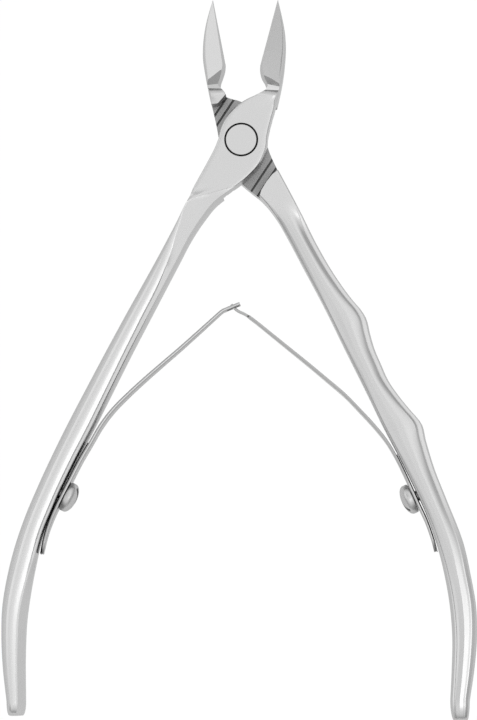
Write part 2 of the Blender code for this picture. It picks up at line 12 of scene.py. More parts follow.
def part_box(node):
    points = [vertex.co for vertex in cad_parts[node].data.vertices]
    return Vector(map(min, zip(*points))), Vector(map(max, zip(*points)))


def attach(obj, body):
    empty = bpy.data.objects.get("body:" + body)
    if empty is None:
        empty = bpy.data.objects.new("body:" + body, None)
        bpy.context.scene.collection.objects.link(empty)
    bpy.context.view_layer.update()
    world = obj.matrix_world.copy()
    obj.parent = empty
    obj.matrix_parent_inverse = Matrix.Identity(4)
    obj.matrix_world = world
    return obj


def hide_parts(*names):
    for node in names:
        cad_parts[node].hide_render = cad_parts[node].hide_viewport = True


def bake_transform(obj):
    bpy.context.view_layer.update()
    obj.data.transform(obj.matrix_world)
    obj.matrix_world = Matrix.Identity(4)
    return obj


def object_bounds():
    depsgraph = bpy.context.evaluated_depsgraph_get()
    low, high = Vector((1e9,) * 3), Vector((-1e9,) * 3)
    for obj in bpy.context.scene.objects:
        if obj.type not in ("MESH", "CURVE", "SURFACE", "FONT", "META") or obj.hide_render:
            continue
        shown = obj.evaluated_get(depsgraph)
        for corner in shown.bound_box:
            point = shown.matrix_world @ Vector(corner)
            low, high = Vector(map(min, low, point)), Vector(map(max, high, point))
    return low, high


MM = 0.001
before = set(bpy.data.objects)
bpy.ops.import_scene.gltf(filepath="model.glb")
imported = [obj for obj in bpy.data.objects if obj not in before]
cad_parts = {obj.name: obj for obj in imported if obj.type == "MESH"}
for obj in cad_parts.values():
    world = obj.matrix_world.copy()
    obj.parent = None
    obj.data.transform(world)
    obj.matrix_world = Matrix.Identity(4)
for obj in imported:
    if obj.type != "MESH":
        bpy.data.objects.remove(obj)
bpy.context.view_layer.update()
RIVET_LOW, RIVET_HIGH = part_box("pivot_rivet")
DEPTH = (RIVET_HIGH.z - RIVET_LOW.z) / MM
MID = DEPTH / 2
RIVET_RADIUS = (RIVET_HIGH.x - RIVET_LOW.x) / 2 / MM
BORE_CLEARANCE = 0.05
BORE_RADIUS = RIVET_RADIUS + BORE_CLEARANCE
RING_WIDTH = 0.28
RING_RADIUS = RIVET_RADIUS + RING_WIDTH
RING_DEPTH = 0.6
# Rounded rim of the rivet: distances in from its side and from its end.
RIVET_RIM = ((0.07, 0.0), (0.02, 0.03), (0.0, 0.10))
LAP_GAP = 0.05
# How far a cutter reaches past the surface it cuts.
OVERRUN = 1.0

# Camera: far away, almost square to the nipper, leaning a little towards -Y and +X.
CAMERA_DISTANCE = 1400.0
CAMERA_TILT = 6.0
CAMERA_TURN = 2.3
CAMERA_LENS = 421.7
CAMERA_SENSOR = 36.0
CAMERA_CLIP = (0.01, 50.0)
VIEW_CENTRE = (-0.45, -36.9, DEPTH)

# ---------------------------------------------------------------- outlines, as in the CAD model
# An edge is a chain of smooth runs of (level y, x), from the tip down, with corners between the runs.
TIP_Y = 23.95
LAST_Y = -93.4
CORNER_LEVELS = (12.95, 8.95, 8.0)
FRONT_LEFT = [
    [(23.95, 5.93), (12.95, 3.03)],
    [(12.95, 3.03), (12.1, 3.0), (10.65, 3.3), (9.6, 3.88), (8.95, 4.1)],
    [(8.95, 4.1), (8.4, 3.85), (7.9, 3.1), (7.6, 2.6), (7.1, 1.45), (6.4, 0.2), (5.0, -1.5),
     (3.4, -2.68), (1.8, -3.42), (0.2, -3.8)],
    [(0.2, -3.8), (-1.3, -4.4), (-3.9, -5.75), (-7.9, -7.95), (-12.6, -10.4), (-20.0, -14.4),
     (-30.0, -19.95), (-40.0, -25.3), (-50.0, -30.45), (-57.6, -34.0), (-62.6, -36.1),
     (-67.6, -37.8), (-72.6, -39.05), (-77.6, -39.85), (-82.6, -40.0), (-87.6, -39.75),
     (-93.4, -39.1)],
]
FRONT_RIGHT = [
    [(23.95, 6.0), (21.9, 6.5), (17.8, 7.22), (15.8, 7.3), (13.8, 7.2), (9.6, 6.65), (5.2, 5.53),
     (1.8, 4.62), (0.2, 4.32), (-0.5, 4.3), (-2.45, 3.82), (-4.4, 2.78), (-5.75, 1.55),
     (-7.2, -0.1), (-8.6, -2.1), (-10.2, -4.15), (-12.6, -6.15), (-16.0, -8.4), (-20.0, -10.5),
     (-27.5, -14.4), (-35.0, -18.3), (-42.6, -22.1), (-47.6, -24.6), (-53.2, -27.55),
     (-61.0, -31.25), (-66.0, -33.25), (-70.1, -34.2), (-75.1, -35.15), (-80.1, -35.8),
     (-85.0, -36.0), (-93.4, -35.95)],
]
BACK_LEFT = [
    [(23.95, -4.92), (21.9, -5.53), (19.9, -6.03), (17.8, -6.37), (15.6, -6.53), (13.8, -6.5),
     (11.7, -6.2), (7.5, -5.37), (5.2, -4.82), (1.8, -4.1), (0.2, -3.86), (-0.9, -3.85),
     (-2.45, -3.6), (-4.4, -2.55), (-5.75, -1.35), (-7.2, 0.25), (-8.6, 1.95), (-9.3, 2.85),
     (-10.2, 3.75), (-12.6, 5.6), (-16.0, 7.55), (-20.0, 9.65), (-27.5, 13.6), (-35.0, 17.25),
     (-42.6, 21.0), (-47.6, 23.4), (-52.6, 26.0), (-58.0, 28.65), (-63.4, 31.0), (-68.4, 32.6),
     (-72.6, 33.6), (-77.6, 34.45), (-82.6, 34.85), (-88.4, 34.75), (-93.4, 34.5)],
]
BACK_RIGHT = [
    [(23.95, -4.85), (12.95, -2.74)],
    [(12.95, -2.74), (12.1, -2.8), (10.65, -3.2), (9.6, -3.55), (8.95, -3.5), (8.45, -3.1),
     (8.0, -2.75)],
    [(8.0, -2.75), (7.6, -2.55), (7.35, -1.7), (7.1, -0.7), (6.75, 0.1), (6.4, 0.6), (5.0, 1.6),
     (3.4, 2.68), (1.8, 3.42), (0.2, 3.8), (-0.5, 4.15), (-1.8, 4.6), (-3.8, 5.5), (-7.8, 7.6),
     (-12.6, 10.1), (-17.6, 12.6), (-22.6, 15.5), (-27.0, 18.65), (-28.4, 19.85), (-29.6, 20.6),
     (-32.4, 21.35), (-35.0, 22.1), (-37.6, 23.2), (-40.2, 24.35), (-42.8, 26.1), (-45.1, 27.95),
     (-47.4, 29.85), (-50.1, 30.55), (-55.1, 32.05), (-60.1, 34.0), (-67.6, 36.85), (-72.6, 37.95),
     (-77.6, 38.8), (-82.6, 38.95), (-87.6, 38.55), (-93.4, 37.7)],
]
# Where a handle's rounded end closes: level, x of its left and right.
FRONT_END = (-95.6, -38.7, -36.5)
BACK_END = (-96.7, 35.2, 37.2)
END_THINNING = 0.45
# Half of the depth, by level.
HALF_DEPTH = [(23.95, 0.55), (20.6, 1.15), (16.5, 1.95), (12.9, 2.75), (9.9, 3.5), (8.0, 4.0),
              (6.0, 4.0), (-50.0, 4.0), (-58.0, 4.0), (-70.0, 3.8), (-80.0, 3.45), (-93.4, 3.0)]
# Plan of the recess for the other lap, in the back half; mirrored in the front half.
POCKET = [(-9.0, 5.9), (-4.8, 6.02), (-3.9, 6.12), (-2.85, 7.35), (-2.0, 8.6), (2.0, 9.6), (12.0, 7.0),
          (12.0, -3.2), (6.9, -4.75), (6.13, -5.12), (5.16, -5.86), (4.19, -7.1), (3.36, -8.48),
          (2.95, -9.9), (2.6, -11.0), (-3.0, -12.5), (-9.0, -7.0)]
# Machined grooves in the floor of the recess: distances from the rivet axis.
GROOVES = (-6.35, -5.15, 5.8, 7.13)
GROOVE_ANGLE = 56.5
GROOVE_WIDTH = 0.36
GROOVE_DEPTH = 0.3
GROOVE_REACH = 9.0
GROOVE_OPENING = 0.5
# Relief between blade and shoulder: x, ridge y and z, root y and z, shoulder y at its two ends.
LEFT_RELIEF = ((2.0, 13.4, 2.35, 9.95, 1.3, 8.85), (6.3, 9.45, 3.6, 9.25, 3.1, 8.75))
RIGHT_RELIEF = ((2.4, 12.45, 2.75, 10.1, 1.4, 8.75), (6.9, 8.95, 3.72, 8.8, 3.5, 8.2))
RELIEF_RISE = 1.5
RIDGE_CHAMFER = (0.20, 0.07)
# The cutter of a relief opens out to this height, past the ridge and past the shoulder.
RELIEF_OPEN_HEIGHT = 6.0
RELIEF_PAST_RIDGE = 0.6
RELIEF_PAST_SHOULDER = 0.4
RELIEF_HOLLOW = 0.02
RELIEF_FLAT_END = 0.05
RELIEF_ABOVE_FACE = 0.03
# Width of the flat land along the inner edge of the plain handle, by level.
LAND = [(-8.0, 7.4), (-10.5, 5.0), (-13.0, 3.4), (-16.0, 2.4), (-19.0, 1.6), (-22.5, 1.1), (-30.0, 0.9),
        (-50.0, 0.65), (-62.0, 0.5), (-93.4, 0.4)]
NARROWEST_CROWN = 0.3
FULL_CROWN = 4.3
CREASE_HALF_WIDTH = 0.12
# Widths from which the rounding of a jaw's back and of the wavy handle's rim is full.
FULL_SPINE = 4.0
FULL_HANDLE = 4.0
# Blade: slope of its flat face in degrees, width of the ground bevel, height of the cutting edge.
BLADE_SLOPE = 10.0
BLADE_BEVEL = 0.17
BLADE_EDGE = 0.04
BLADE_REACH = 0.85

# Levels at which the profile of a side changes, and the stretches over which it blends.
JAW_LEVEL = 8.0
BLADE_BLEND = (8.4, 9.5)
SPINE_BLEND = (5.0, 9.5)
FRONT_HANDLE_LEVEL = -7.5
FRONT_HANDLE_BLEND = (-10.5, -7.6)
BACK_HANDLE_LEVEL = -6.0
BACK_INNER_BLEND = (-16.0, -9.3)
BACK_OUTER_BLEND = (-16.0, -10.0)
FINE_STEP = 0.3
COARSE_STEP = 0.75
COARSE_BELOW = -13.0
LEAST_STEP = 0.08

# ---------------------------------------------------------------- springs and screws
# Plan of each leaf from its foot to its eye or tongue.
LEFT_LEAF = [(-33.2, -68.8), (-32.75, -66.5), (-31.95, -63.9), (-30.8, -61.2), (-28.85, -57.3),
             (-26.9, -53.45), (-25.25, -50.6), (-23.45, -47.5), (-21.45, -44.85), (-18.95, -42.3),
             (-16.25, -39.8), (-13.4, -37.3), (-10.5, -34.8), (-7.7, -32.3), (-5.0, -29.85),
             (-3.5, -28.5), (-2.9, -28.15), (-0.35, -27.1)]
RIGHT_LEAF = [(32.1, -68.6), (31.55, -66.45), (30.55, -63.6), (29.4, -61.1), (28.1, -58.25),
              (26.85, -55.5), (25.5, -52.75), (23.9, -50.1), (21.9, -47.6), (19.6, -45.1),
              (17.1, -42.5), (14.2, -40.0), (11.25, -37.5), (8.2, -35.0), (5.15, -32.5),
              (2.2, -30.1), (0.55, -28.9), (-0.5, -28.4), (-1.15, -27.95), (-1.8, -27.2)]
# Seat of a screw and the way its head faces: x, y, dx, dy.
LEFT_SCREW = (-30.14, -58.7, 0.893, -0.450)
RIGHT_SCREW = (29.12, -59.27, -0.911, -0.413)
LEFT_FLEX = (-22.62, -46.4)
RIGHT_FLEX = (20.94, -46.5)
EYE_CENTRE = (-1.5, -27.7)
EYE_ANGLE = 21.0
EYE_RADIUS = 0.80
EYE_STRAIGHT = 0.8
EYE_REACH = 1.2
LEAF_GAP = 0.30
LEAF_THICK = 0.45
LEAF_HALF_WIDTH = 2.8
TAB_HALF_WIDTH = 1.3
FOOT_END_HALF_WIDTH = 1.4
FOOT_TAPER = 2.0
LEAF_STEP = 0.4
CURVE_PARTS = 12
# A black strip behind each leaf's foot paints the shadow in the gap: leaf points it follows, thickness,
# offset, inset, taper, step.
SHADOW_STRIP_POINTS = 7
SHADOW_STRIP_THICK = 0.10
SHADOW_STRIP_OFFSET = 0.08
SHADOW_STRIP_INSET = 0.15
SHADOW_STRIP_TAPER = 1.5
SHADOW_STRIP_STEP = 0.8
TONGUE_HALF_WIDTH = 0.42
TONGUE_START_X = 0.9
SCREW_HEAD_RADIUS = 2.5
SCREW_RIM_HEIGHT = 0.8
SCREW_DOME_HEIGHT = 1.2
SLOT_WIDTH = 0.6
SLOT_DEPTH = 0.7
SLOT_TURN = 35.0
SLOT_REACH = 4.0
SEAT_GAP = 0.05
SHANK_RADIUS = 0.9
SHANK_LENGTH = 1.4
SHANK_TIP = (0.6, -1.6)

# ---------------------------------------------------------------- surfaces and studio
# Edges that turn by more than these angles stay sharp.
FORGING_CREASE = 14.0
SMALL_PIECE_CREASE = 30.0
SPECULAR_TINT = 0.72
# Scales of the grinding marks along x, y and z: along the handles, across the laps, along the leaves.
HANDLE_GRIND = (900.0, 60.0, 900.0)
LAP_GRIND = (60.0, 900.0, 900.0)
LEAF_GRIND = (60.0, 60.0, 900.0)
RIVET_GRIND = (500.0, 500.0, 500.0)
SCREW_GRIND = (300.0, 300.0, 300.0)
LAP_BUMP = 0.05
GRIND_HEIGHT = 0.00002
ROUGHNESS_SPREAD = (-0.05, 0.06)
TONE_SPREAD = 0.01
FLOOR_DROP = 0.0002
FLOOR_SPREAD = 12

# Studio sky: (height, level) stops, and soft boxes as (direction, inner angle, outer angle, strength).
SKY = ((0.0, 0.34), (0.35, 0.47), (0.6, 0.76), (0.85, 0.95), (1.0, 1.0))
SKY_STRENGTH = 1.26
SOFT_BOXES = (
    ((-0.92, 0.38, 0.30), 12.0, 48.0, 0.6),
    ((0.30, -0.12, 0.946), 4.0, 14.0, 1.4),
    ((-0.34, 0.42, 0.84), 6.0, 22.0, -0.40),
    ((-0.40, 0.10, 0.91), 5.0, 15.0, -0.22),
    ((0.30, 0.50, 0.81), 8.0, 24.0, 0.15),
    ((0.05, 0.96, 0.28), 14.0, 42.0, 0.45),
    ((0.70, -0.52, 0.48), 10.0, 34.0, -0.12),
)


# ---------------------------------------------------------------- numbers along a level
def slope(run, index):
    """Tangent of a smooth run at one of its points."""
    if index == 0 or index == len(run) - 1:
        near = 1 if index == 0 else index - 1
        return (run[near][1] - run[index][1]) / (run[near][0] - run[index][0])
    before, here, after = run[index - 1], run[index], run[index + 1]
    step_in = here[0] - before[0]
    step_out = after[0] - here[0]
    rise_in = (here[1] - before[1]) / step_in
    rise_out = (after[1] - here[1]) / step_out
    return (rise_in * step_out + rise_out * step_in) / (step_in + step_out)


def run_value(run, y):
    """Smooth value of a run at level y."""
    for index in range(len(run) - 1):
        y0, x0 = run[index]
        y1, x1 = run[index + 1]
        if y1 <= y <= y0:
            span = y1 - y0
            t = (y - y0) / span
            m0 = slope(run, index) * span
            m1 = slope(run, index + 1) * span
            cubic = 2 * t ** 3 - 3 * t ** 2
            start_pull = m0 * (t ** 3 - 2 * t ** 2 + t)
            end_pull = m1 * (t ** 3 - t ** 2)
            return x0 * (1 + cubic) - x1 * cubic + start_pull + end_pull
    return run[-1][1]


def edge_value(runs, y):
    """Value of a chain of runs at level y."""
    for run in runs:
        if y >= run[-1][0]:
            return run_value(run, y)
    return runs[-1][-1][1]


def ease(value, start, end):
    """Smooth step from 0 at start to 1 at end."""
    t = max(0.0, min(1.0, (value - start) / (end - start)))
    return t * t * (3 - 2 * t)


def levels():
    """Section levels from tip to handle end, closest together at jaws and joint."""
    ys = set(CORNER_LEVELS)
    y = TIP_Y
    while y > LAST_Y:
        ys.add(round(y, 4))
        y -= FINE_STEP if y > COARSE_BELOW else COARSE_STEP
    ys.add(LAST_Y)
    kept = []
    for y in sorted(ys, reverse=True):
        if not kept or kept[-1] - y > LEAST_STEP or y in CORNER_LEVELS:
            kept.append(y)
    return kept


# ---------------------------------------------------------------- side profiles of a section
# A side is eight corners, (distance in from the edge, share of the half depth), edge first. Every side
# is sampled alike, so that sides can be blended along the nipper.
SAMPLES = (3, 2, 2, 2, 2, 3, 6)


def side(corners, bulge=0.0):
    """Sample the stretches between the corners of a side; the last stretch may bulge."""
    points = []
    for k, count in enumerate(SAMPLES):
        (d0, s0), (d1, s1) = corners[k], corners[k + 1]
        for step in range(count):
            t = step / count
            rise = bulge * 4 * t * (1 - t) if k == len(SAMPLES) - 1 else 0.0
            points.append((d0 + (d1 - d0) * t, s0 + (s1 - s0) * t + rise))
    points.append(corners[-1])
    return points


def lap_side(width, half):
    """Square shoulder with a small rounded chamfer."""
    drops = ((0.0, 0.26), (0.05, 0.16), (0.11, 0.09), (0.18, 0.04), (0.26, 0.01), (0.36, 0.0))
    corners = [(distance, 1 - drop / half) for distance, drop in drops]
    return side(corners + [(0.25 * width, 1.0), (0.5 * width, 1.0)])


def cutting_side(width, half):
    """Ground bevel that starts at the middle plane, then the flat face of the blade."""
    bevel = BLADE_BEVEL * half
    last = BLADE_REACH * width
    start = 1 - math.tan(math.radians(BLADE_SLOPE)) * (last - bevel) / half
    corners = [(bevel * k / 4, BLADE_EDGE + (start - BLADE_EDGE) * k / 4) for k in range(5)]
    for share in (0.1, 0.4, 1.0):
        corners.append((bevel + (last - bevel) * share, start + (1 - start) * share))
    return side(corners)


def spine_side(width):
    """Rounded back of the jaw."""
    k = min(width, FULL_SPINE)
    return side([(0.0, 0.40), (0.01 * k, 0.55), (0.03 * k, 0.68), (0.05 * k, 0.78), (0.08 * k, 0.88),
                 (0.11 * k, 0.95), (0.14 * k, 0.99), (0.15 * width, 1.0)])


def crown_width(y, width):
    """Width of the rounded part of the plain handle, outside its flat land."""
    land = min(run_value(LAND, y), width - plain_face(y) - NARROWEST_CROWN)
    return width - land - plain_face(y)


def crown_share(crown):
    """How full a crown of this width is, up to 1."""
    return min(1.0, crown / FULL_CROWN)


def crown_level(crown):
    """Height of the top of the crown."""
    return 1 - 0.01 * crown_share(crown)


def plain_face(y):
    """Width of the sloping inner face of the plain handle."""
    return 0.10 + 0.93 * ease(y, -66.0, -80.0)


def plain_outer_side(y, width):
    """Rounded outer side of the plain handle, up to the top of its crown."""
    crown = crown_width(y, width)
    arc = ((0.0, 0.20), (0.02, 0.36), (0.05, 0.50), (0.10, 0.64), (0.17, 0.76), (0.26, 0.87), (0.36, 0.945))
    corners = [(share * crown, level) for share, level in arc]
    return side(corners + [(0.5 * crown, crown_level(crown))], 0.002)


def plain_inner_side(y, width):
    """Inner side of the plain handle: sloping face, edge, flat land, fine crease, crown."""
    crown = crown_width(y, width)
    face = plain_face(y)
    land = width - crown - face
    deep = ease(y, -15.0, -30.0) * (1 - ease(y, -62.0, -76.0))
    crest = 1 - 0.065 * crown_share(crown) ** 2
    level = crest - 0.004 - 0.012 * deep
    corners = [
        (0.0, 0.40),
        (face, level - 0.06),
        (face + CREASE_HALF_WIDTH, level),
        (face + land - CREASE_HALF_WIDTH, level),
        (face + land, level - 0.022 * deep),
        (face + land + CREASE_HALF_WIDTH, crest),
        (face + land + 0.2 * crown, 0.3 * crest + 0.7 * crown_level(crown)),
        (width - 0.5 * crown, crown_level(crown)),
    ]
    return side(corners, 0.006 * crown_share(crown))


def wavy_inner_side(y, width):
    """Inner side of the wavy handle: a face that widens downwards, chamfer, fine line."""
    low = ease(y, -58.0, -78.0)
    face = 0.02 + 0.50 * low * min(1.0, width / FULL_HANDLE)
    edge = 0.86 - 0.46 * low
    return side([(0.0, edge), (face, 0.875), (face + 0.22, 0.91), (face + 0.29, 0.89), (face + 0.38, 0.905),
                 (0.17 * width + face, 0.952), (0.31 * width + face, 0.986), (0.5 * width, 1.0)])


def wavy_outer_side(y, width):
    """Outer side of the wavy handle: shelf with a rounded rim, crease, then the gently hollow face."""
    k = min(1.0, width / FULL_HANDLE)
    low = ease(y, -56.0, -76.0)
    corners = [
        (0.0, 0.50),
        (0.05 * k, 0.64),
        (0.14 * k, 0.76),
        (0.30 * k, 0.85),
        (0.80 * k, 0.875 + 0.06 * low),
        (0.95 * k, 0.862 + 0.08 * low),
        (1.30 * k, 0.90 + 0.07 * low + 0.015 * (1 - low)),
        (0.5 * width, 1.0),
    ]
    return side(corners, 0.016 * (1 - low))


def mix(first, second, share):
    """Blend two sides."""
    return [(a[0] + (b[0] - a[0]) * share, a[1] + (b[1] - a[1]) * share) for a, b in zip(first, second)]


def front_sides(y, width, half):
    """Left and right sides of the front half."""
    lap = lap_side(width, half)
    if y > JAW_LEVEL:
        left = mix(lap, cutting_side(width, half), ease(y, *BLADE_BLEND))
    elif y > FRONT_HANDLE_LEVEL:
        left = lap
    else:
        left = mix(plain_outer_side(y, width), lap, ease(y, *FRONT_HANDLE_BLEND))
    if y > FRONT_HANDLE_LEVEL:
        right = mix(lap, spine_side(width), ease(y, *SPINE_BLEND))
    else:
        right = mix(plain_inner_side(y, width), lap, ease(y, *FRONT_HANDLE_BLEND))
    return left, right


def back_sides(y, width, half):
    """Left and right sides of the back half."""
    lap = lap_side(width, half)
    if y > BACK_HANDLE_LEVEL:
        left = mix(lap, spine_side(width), ease(y, *SPINE_BLEND))
    else:
        left = mix(wavy_inner_side(y, width), lap, ease(y, *BACK_INNER_BLEND))
    if y > JAW_LEVEL:
        right = mix(lap, cutting_side(width, half), ease(y, *BLADE_BLEND))
    else:
        right = mix(wavy_outer_side(y, width), lap, ease(y, *BACK_OUTER_BLEND))
    return left, right


def section(y, left, right, half, sides):
    """One closed section of a half at level y."""
    left_side, right_side = sides(y, right - left, half)
    top = [(left + d, share * half) for d, share in left_side]
    top += [(right - d, share * half) for d, share in reversed(right_side[:-1])]
    upper = [(x, y, MID + z) for x, z in top]
    lower = [(x, y, MID - z) for x, z in reversed(top)]
    return upper + lower


def end_sections(y, left, right, half, sides, end):
    """Rounded end of a handle."""
    end_y, end_left, end_right = end
    rings = []
    for angle in range(8, 89, 8):
        turn = math.radians(angle)
        fall = 1 - math.cos(turn)
        low_y = y + (end_y - y) * math.sin(turn)
        new_left = left + (end_left - left) * fall
        new_right = right + (end_right - right) * fall
        rings.append(section(low_y, new_left, new_right, half * (1 - END_THINNING * fall), sides))
    return rings


# ---------------------------------------------------------------- mesh helpers
def link(item):
    """Put an object in the scene."""
    bpy.context.scene.collection.objects.link(item)
    return item


def mesh_object(name, vertices, faces, material):
    """Object from millimetre vertices."""
    mesh = bpy.data.meshes.new(name)
    mesh.from_pydata([Vector(v) * MM for v in vertices], [], faces)
    shape = bmesh.new()
    shape.from_mesh(mesh)
    bmesh.ops.recalc_face_normals(shape, faces=shape.faces)
    shape.to_mesh(mesh)
    shape.free()
    mesh.materials.append(material)
    return link(bpy.data.objects.new(name, mesh))


def loft(name, rings, material):
    """Closed skin over rings of equal count."""
    count = len(rings[0])
    vertices = [corner for ring in rings for corner in ring]
    faces = []
    for row in range(len(rings) - 1):
        for corner in range(count):
            following = (corner + 1) % count
            a = row * count + corner
            b = row * count + following
            faces.append((a, b, b + count, a + count))
    faces.append(tuple(reversed(range(count))))
    last = (len(rings) - 1) * count
    faces.append(tuple(last + corner for corner in range(count)))
    return mesh_object(name, vertices, faces, material)


def prism(name, plan, low, high, material):
    """Upright prism over a plan polygon."""
    return loft(name, [[(x, y, low) for x, y in plan], [(x, y, high) for x, y in plan]], material)


def circle(radius, sides=128):
    """Plan of a circle about the origin."""
    turns = [2 * math.pi * k / sides for k in range(sides)]
    return [(radius * math.cos(t), radius * math.sin(t)) for t in turns]


def carve(item, cutters):
    """Cut the cutters out of a piece for good; cut faces keep the cutter's material."""
    for cutter in cutters:
        step = item.modifiers.new("cut", "BOOLEAN")
        step.operation = "DIFFERENCE"
        step.solver = "EXACT"
        step.material_mode = "TRANSFER"
        step.object = cutter
    evaluated = item.evaluated_get(bpy.context.evaluated_depsgraph_get())
    mesh = bpy.data.meshes.new_from_object(evaluated)
    item.modifiers.clear()
    item.data = mesh
    for cutter in cutters:
        bpy.data.objects.remove(cutter)


def shade(item, crease):
    """Smooth shading that keeps edges sharper than the crease angle."""
    item.data.shade_smooth()
    item.data.set_sharp_from_angle(angle=math.radians(crease))


# ---------------------------------------------------------------- materials
def new_material(name, colour, roughness, metallic=1.0):
    """Material with its shader, node tree and fixed values."""
    material = bpy.data.materials.new(name)
    material.use_nodes = True
    shader = material.node_tree.nodes["Principled BSDF"]
    shader.inputs["Base Color"].default_value = (*colour, 1.0)
    shader.inputs["Metallic"].default_value = metallic
    shader.inputs["Roughness"].default_value = roughness
    shader.inputs["Specular Tint"].default_value = (*[SPECULAR_TINT] * 3, 1.0)
    return material, material.node_tree, shader


def steel(name, tone, roughness, grain=HANDLE_GRIND, bump=0.012, turn=0.0):
    """Stainless steel with fine directional grinding marks and a faint cloudiness."""
    material, tree, shader = new_material(name, (tone, tone, tone), roughness)
    place = tree.nodes.new("ShaderNodeTexCoord")
    grind = tree.nodes.new("ShaderNodeMapping")
    grind.inputs["Scale"].default_value = grain
    grind.inputs["Rotation"].default_value = (0.0, 0.0, math.radians(turn))
    lines = tree.nodes.new("ShaderNodeTexNoise")
    lines.inputs["Scale"].default_value = 6.0
    lines.inputs["Detail"].default_value = 4.0
    clouds = tree.nodes.new("ShaderNodeTexNoise")
    clouds.inputs["Scale"].default_value = 180.0
    clouds.inputs["Detail"].default_value = 3.0
    rough = tree.nodes.new("ShaderNodeMapRange")
    rough.inputs["To Min"].default_value = roughness + ROUGHNESS_SPREAD[0]
    rough.inputs["To Max"].default_value = roughness + ROUGHNESS_SPREAD[1]
    colour = tree.nodes.new("ShaderNodeMapRange")
    colour.inputs["To Min"].default_value = tone - TONE_SPREAD
    colour.inputs["To Max"].default_value = tone + TONE_SPREAD
    relief = tree.nodes.new("ShaderNodeBump")
    relief.inputs["Strength"].default_value = bump
    relief.inputs["Distance"].default_value = GRIND_HEIGHT
    links = tree.links
    links.new(place.outputs["Object"], grind.inputs["Vector"])
    links.new(grind.outputs["Vector"], lines.inputs["Vector"])
    links.new(place.outputs["Object"], clouds.inputs["Vector"])
    links.new(clouds.outputs["Fac"], colour.inputs["Value"])
    links.new(colour.outputs["Result"], shader.inputs["Base Color"])
    links.new(lines.outputs["Fac"], rough.inputs["Value"])
    links.new(rough.outputs["Result"], shader.inputs["Roughness"])
    links.new(lines.outputs["Fac"], relief.inputs["Height"])
    links.new(relief.outputs["Normal"], shader.inputs["Normal"])
    return material


# ---------------------------------------------------------------- the two halves
def relief_profile(root_y, root_z, shoulder_y):
    """Root and rising shoulder of a relief."""
    points = [
        (root_y, root_z),
        ((root_y + shoulder_y) / 2, root_z - RELIEF_HOLLOW),
        (shoulder_y + RELIEF_FLAT_END, root_z),
    ]
    for angle in range(10, 91, 10):
        turn = math.radians(angle)
        level = root_z + (MID + RELIEF_ABOVE_FACE - root_z) * math.sin(turn)
        points.append((shoulder_y - RELIEF_RISE * (1 - math.cos(turn)), level))
    return points


def scallop(side_sign, relief, face_sign, material):
    """Relief between blade and shoulder on one face of a jaw."""
    rings = []
    for x, ridge_y, ridge_z, root_y, root_z, shoulder_y in relief:
        outline = [
            (ridge_y + RELIEF_PAST_RIDGE, RELIEF_OPEN_HEIGHT),
            (ridge_y + RIDGE_CHAMFER[0], ridge_z + RIDGE_CHAMFER[1]),
            (ridge_y, ridge_z),
        ]
        outline += relief_profile(root_y, root_z, shoulder_y)
        outline.append((shoulder_y - RELIEF_RISE - RELIEF_PAST_SHOULDER, RELIEF_OPEN_HEIGHT))
        rings.append([(side_sign * x, y, MID + face_sign * z) for y, z in outline])
    return loft("relief", rings, material)


def grooves(side_sign, low, high, material):
    """Straight machined grooves across a recessed lap."""
    turn = math.radians(GROOVE_ANGLE)
    cutters = []
    for offset in GROOVES:
        near = offset - GROOVE_WIDTH / 2
        far = offset + GROOVE_WIDTH / 2
        plan = []
        for end, shift in ((-1, near), (1, near), (1, far), (-1, far)):
            x = end * GROOVE_REACH * math.cos(turn) + shift * math.sin(turn)
            y = end * GROOVE_REACH * math.sin(turn) - shift * math.cos(turn)
            plan.append((side_sign * x, y))
        cutters.append(prism("groove", plan, low, high, material))
    return cutters


def lap_cutters(on_top, machined, dark, groove):
    """Recess for the other lap with its grooves, bore for the rivet and ring groove round its end; bore and
    ring are painted near black as shade in the gap.
    """
    if on_top:
        floor = MID + LAP_GAP
        plan = [(-x, y) for x, y in reversed(POCKET)]
        pocket = prism("pocket", plan, -OVERRUN, floor, machined)
        ring = prism("ring", circle(RING_RADIUS), DEPTH - RING_DEPTH, DEPTH + OVERRUN, dark)
        lines = grooves(-1, MID - GROOVE_OPENING, floor + GROOVE_DEPTH, groove)
    else:
        floor = MID - LAP_GAP
        pocket = prism("pocket", POCKET, floor, DEPTH + OVERRUN, machined)
        ring = prism("ring", circle(RING_RADIUS), -OVERRUN, RING_DEPTH, dark)
        lines = grooves(1, floor - GROOVE_DEPTH, MID + GROOVE_OPENING, groove)
    bore = prism("bore", circle(BORE_RADIUS), -OVERRUN, DEPTH + OVERRUN, dark)
    return [pocket, *lines, bore, ring]


def forged_half(name, edges, sides, end, on_top, materials):
    """One forged half, lofted and machined."""
    body, machined, dark, groove = materials
    left_edge, right_edge = edges
    rings = []
    for y in levels():
        depth = min(MID, run_value(HALF_DEPTH, y))
        rings.append(section(y, edge_value(left_edge, y), edge_value(right_edge, y), depth, sides))
    rings += end_sections(LAST_Y, edge_value(left_edge, LAST_Y), edge_value(right_edge, LAST_Y),
                          HALF_DEPTH[-1][1], sides, end)
    item = loft(name, rings, body)
    cutters = lap_cutters(on_top, machined, dark, groove)
    side_sign, relief = (1, RIGHT_RELIEF) if on_top else (-1, LEFT_RELIEF)
    cutters += [scallop(side_sign, relief, face_sign, body) for face_sign in (1, -1)]
    carve(item, cutters)
    shade(item, FORGING_CREASE)
    return item


